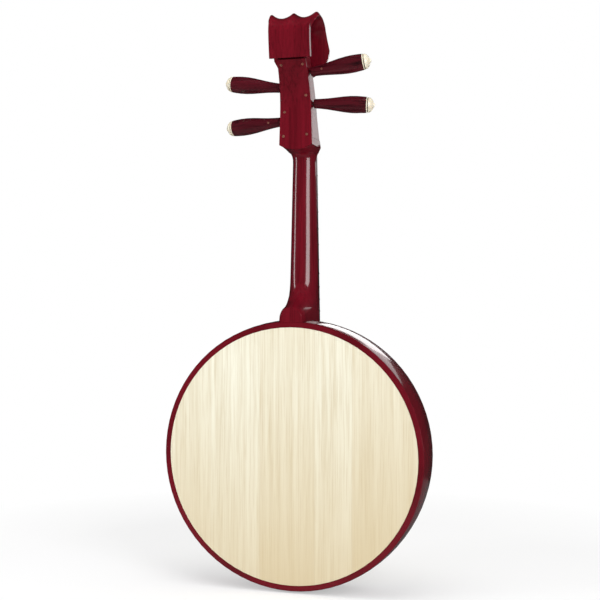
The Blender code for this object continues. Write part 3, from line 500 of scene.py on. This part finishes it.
# %% Peg rings and tips
CAP_END = 95.2 * MM
RING_PLACE = 84.9 * MM
RING_RADIUS = 11.15 * MM
RING_WIDTH = 1.5 * MM
TIP_RADIUS = 2.7 * MM


def peg_line(number):
    joint = joints["peg_turn_%d" % number]
    origin = Vector(joint["pos_m"])
    direction = Vector(joint["axis"]).normalized()
    handle_low, handle_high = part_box("peg_handle_%d" % number)
    middle = (Vector(handle_low) + Vector(handle_high)) / 2
    if (middle - origin).dot(direction) < 0:
        direction = -direction
    return origin, direction


for number in range(1, 5):
    origin, direction = peg_line(number)
    body = "peg_%d" % number
    half = RING_WIDTH / 2
    inner = RING_RADIUS - 1.2 * MM
    ring = [(inner, half), (RING_RADIUS, half), (RING_RADIUS, -half), (inner, -half), (inner, half)]
    name = "peg_ring_%d" % number
    piece(name, lathe(name, ring, facing(origin + direction * RING_PLACE, direction)), horn, body)
    tip = [(0, 0.25 * MM), (TIP_RADIUS * 0.7, 0.15 * MM), (TIP_RADIUS, -0.2 * MM), (TIP_RADIUS, -1.3 * MM),
           (0, -1.3 * MM)]
    name = "peg_tip_%d" % number
    piece(name, lathe(name, tip, facing(origin + direction * CAP_END, direction)), horn, body)
print("peg rings and tips: 4 of each")

# %% Set screws in the handles
SET_SCREW_PLACE = 20 * MM
SET_SCREW_RADIUS = 1.6 * MM
for number in (1, 4):
    origin, direction = peg_line(number)
    out = Vector((0, 1, 0)) - direction * direction.y
    out.normalize()
    place = origin + direction * SET_SCREW_PLACE
    hit, surface, normal, _ = nodes["peg_handle_%d" % number].ray_cast(place + out * 0.05, -out)
    if hit:
        profile = [(0, 0.05 * MM), (SET_SCREW_RADIUS * 0.55, 0.05 * MM), (SET_SCREW_RADIUS * 0.6, 0.25 * MM),
                   (SET_SCREW_RADIUS, 0.15 * MM), (SET_SCREW_RADIUS, -0.6 * MM), (0, -0.6 * MM)]
        name = "set_screw_%d" % number
        piece(name, lathe(name, profile, facing(surface, out)), aged_brass, "peg_%d" % number)
print("set screws: 2")

# %% [markdown]
# ## Staging
#
# A pale floor takes a soft shadow under the rim, and the background is white. Three soft lamps light the wood. Four
# panels are there for the gloss: they draw the streaks down the neck and the pale bands on the rim and cheek.

# %% Floor
floor_mesh = bpy.data.meshes.new("floor")
FLOOR_HALF = 6.0
FLOOR_SHADOW_REACH = 0.25
FLOOR_WHITE_REACH = 0.9
floor_mesh.from_pydata([(-FLOOR_HALF, -FLOOR_HALF, 0), (FLOOR_HALF, -FLOOR_HALF, 0), (FLOOR_HALF, FLOOR_HALF, 0),
                        (-FLOOR_HALF, FLOOR_HALF, 0)], [], [(0, 1, 2, 3)])
floor = bpy.data.objects.new("floor", floor_mesh)
floor.location.z = -0.5 * MM
bpy.context.scene.collection.objects.link(floor)
floor_material, floor_build, floor_shader = new_material("white floor")
floor_shader["Base Color"].default_value = (0.9, 0.9, 0.9, 1)
floor_shader["Roughness"].default_value = 0.8
floor_shader["Specular IOR Level"].default_value = 0.0


def fade_floor(build):
    """For the camera the floor turns to plain white far from the instrument. In reflections it is dark."""
    output = floor_material.node_tree.nodes["Material Output"]
    shaded = floor_material.node_tree.nodes["Principled BSDF"].outputs[0]
    place = build.add("ShaderNodeTexCoord").outputs["Object"]
    distance = build.add("ShaderNodeVectorMath", "LENGTH")
    build.wire(place, distance.inputs[0])
    far = build.spread(distance.outputs["Value"], FLOOR_SHADOW_REACH, FLOOR_WHITE_REACH)
    rays = build.add("ShaderNodeLightPath")
    plain = build.add("ShaderNodeEmission")
    build.wire(build.spread(rays.outputs["Is Glossy Ray"], 0.0, 1.0, 1.0, 0.02), plain.inputs["Strength"])
    seen = build.math("MAXIMUM", rays.outputs["Is Camera Ray"], rays.outputs["Is Glossy Ray"])
    blend = build.add("ShaderNodeMixShader")
    near_mirror = build.math("MULTIPLY", rays.outputs["Is Glossy Ray"], 0.9)
    near_seen = build.math("MULTIPLY", rays.outputs["Is Camera Ray"], 0.45)
    near = build.math("MAXIMUM", near_mirror, near_seen)
    build.wire(build.math("MAXIMUM", build.math("MULTIPLY", far, seen), near), blend.inputs[0])
    build.wire(shaded, blend.inputs[1])
    build.wire(plain.outputs[0], blend.inputs[2])
    build.wire(blend.outputs[0], output.inputs["Surface"])


fade_floor(floor_build)
floor_mesh.materials.append(floor_material)
print("floor at", floor.location.z)


# %% White background, soft fill
def make_world():
    world = bpy.data.worlds.new("studio")
    bpy.context.scene.world = world
    world.use_nodes = True
    build = Nodes(world.node_tree)
    output = world.node_tree.nodes["World Output"]
    fill = world.node_tree.nodes["Background"]
    fill.inputs["Color"].default_value = (1, 1, 1, 1)
    fill.inputs["Strength"].default_value = 0.62
    seen = build.add("ShaderNodeBackground")
    seen.inputs["Color"].default_value = (1, 1, 1, 1)
    seen.inputs["Strength"].default_value = 1.0
    mirrored = build.add("ShaderNodeBackground")
    mirrored.inputs["Color"].default_value = (1, 1, 1, 1)
    mirrored.inputs["Strength"].default_value = 0.012
    rays = build.add("ShaderNodeLightPath")
    glossy = build.add("ShaderNodeMixShader")
    build.wire(rays.outputs["Is Glossy Ray"], glossy.inputs[0])
    build.wire(fill.outputs[0], glossy.inputs[1])
    build.wire(mirrored.outputs[0], glossy.inputs[2])
    camera_mix = build.add("ShaderNodeMixShader")
    build.wire(rays.outputs["Is Camera Ray"], camera_mix.inputs[0])
    build.wire(glossy.outputs[0], camera_mix.inputs[1])
    build.wire(seen.outputs[0], camera_mix.inputs[2])
    build.wire(camera_mix.outputs[0], output.inputs["Surface"])


make_world()

# %% Lamps
BODY_MIDDLE = Vector((0, 0, 0.45))


def soft_lamp(name, place, width, height, power, lights=True, mirrors=False):
    """A rectangular lamp aimed at the instrument. It lights surfaces, is mirrored in the lacquer, or both."""
    data = bpy.data.lights.new(name, "AREA")
    data.shape = "RECTANGLE"
    data.size = width
    data.size_y = height
    data.energy = power
    lamp = bpy.data.objects.new(name, data)
    lamp.matrix_world = facing(Vector(place), Vector(place) - BODY_MIDDLE)
    lamp.visible_diffuse = lights
    lamp.visible_glossy = mirrors
    bpy.context.scene.collection.objects.link(lamp)
    return lamp


soft_lamp("key lamp", (-1.6, 1.6, 1.5), 1.0, 1.6, 26)
soft_lamp("side lamp", (1.7, 1.2, 0.7), 0.5, 1.8, 14)
soft_lamp("top lamp", (0.0, 0.4, 2.2), 1.4, 0.8, 14)
soft_lamp("right panel", (-1.78, 1.29, 0.9), 1.3, 1.7, 44, lights=False, mirrors=True)
soft_lamp("left panel", (1.75, 0.42, 0.75), 0.34, 1.7, 11, lights=False, mirrors=True)
soft_lamp("rim panel", (0.02, -1.7, 0.9), 0.6, 0.35, 1.6, lights=False, mirrors=True)
soft_lamp("cheek panel", (-0.55, -1.7, 1.15), 0.6, 0.6, 1.1, lights=False, mirrors=True)

# %% [markdown]
# ## Camera
#
# The camera stands behind the instrument, a little to the right of its axis, at mid height.

# %% Camera
CAMERA_PLACE = (-0.483, 1.633, 0.448)
CAMERA_YAW = math.radians(16.37)
CAMERA_PITCH = math.radians(0.13)
CAMERA_ROLL = math.radians(0.12)
CAMERA_LENS = 66.0

camera_data = bpy.data.cameras.new("camera")
camera_data.lens = CAMERA_LENS
camera_data.sensor_width = 36.0
camera = bpy.data.objects.new("camera", camera_data)
forward = Vector((math.sin(CAMERA_YAW) * math.cos(CAMERA_PITCH), -math.cos(CAMERA_YAW) * math.cos(CAMERA_PITCH),
                  -math.sin(CAMERA_PITCH)))
right = forward.cross(Vector((0, 0, 1))).normalized()
up = right.cross(forward)
camera_x = right * math.cos(CAMERA_ROLL) + up * math.sin(CAMERA_ROLL)
camera_y = up * math.cos(CAMERA_ROLL) - right * math.sin(CAMERA_ROLL)
axes = Matrix((camera_x, camera_y, -forward)).transposed().to_4x4()
camera.matrix_world = Matrix.Translation(CAMERA_PLACE) @ axes
bpy.context.scene.collection.objects.link(camera)
bpy.context.scene.camera = camera
bpy.context.scene.view_settings.view_transform = "Standard"
print("camera at", CAMERA_PLACE)

# %% Update the scene, and the end
bpy.context.view_layer.update()
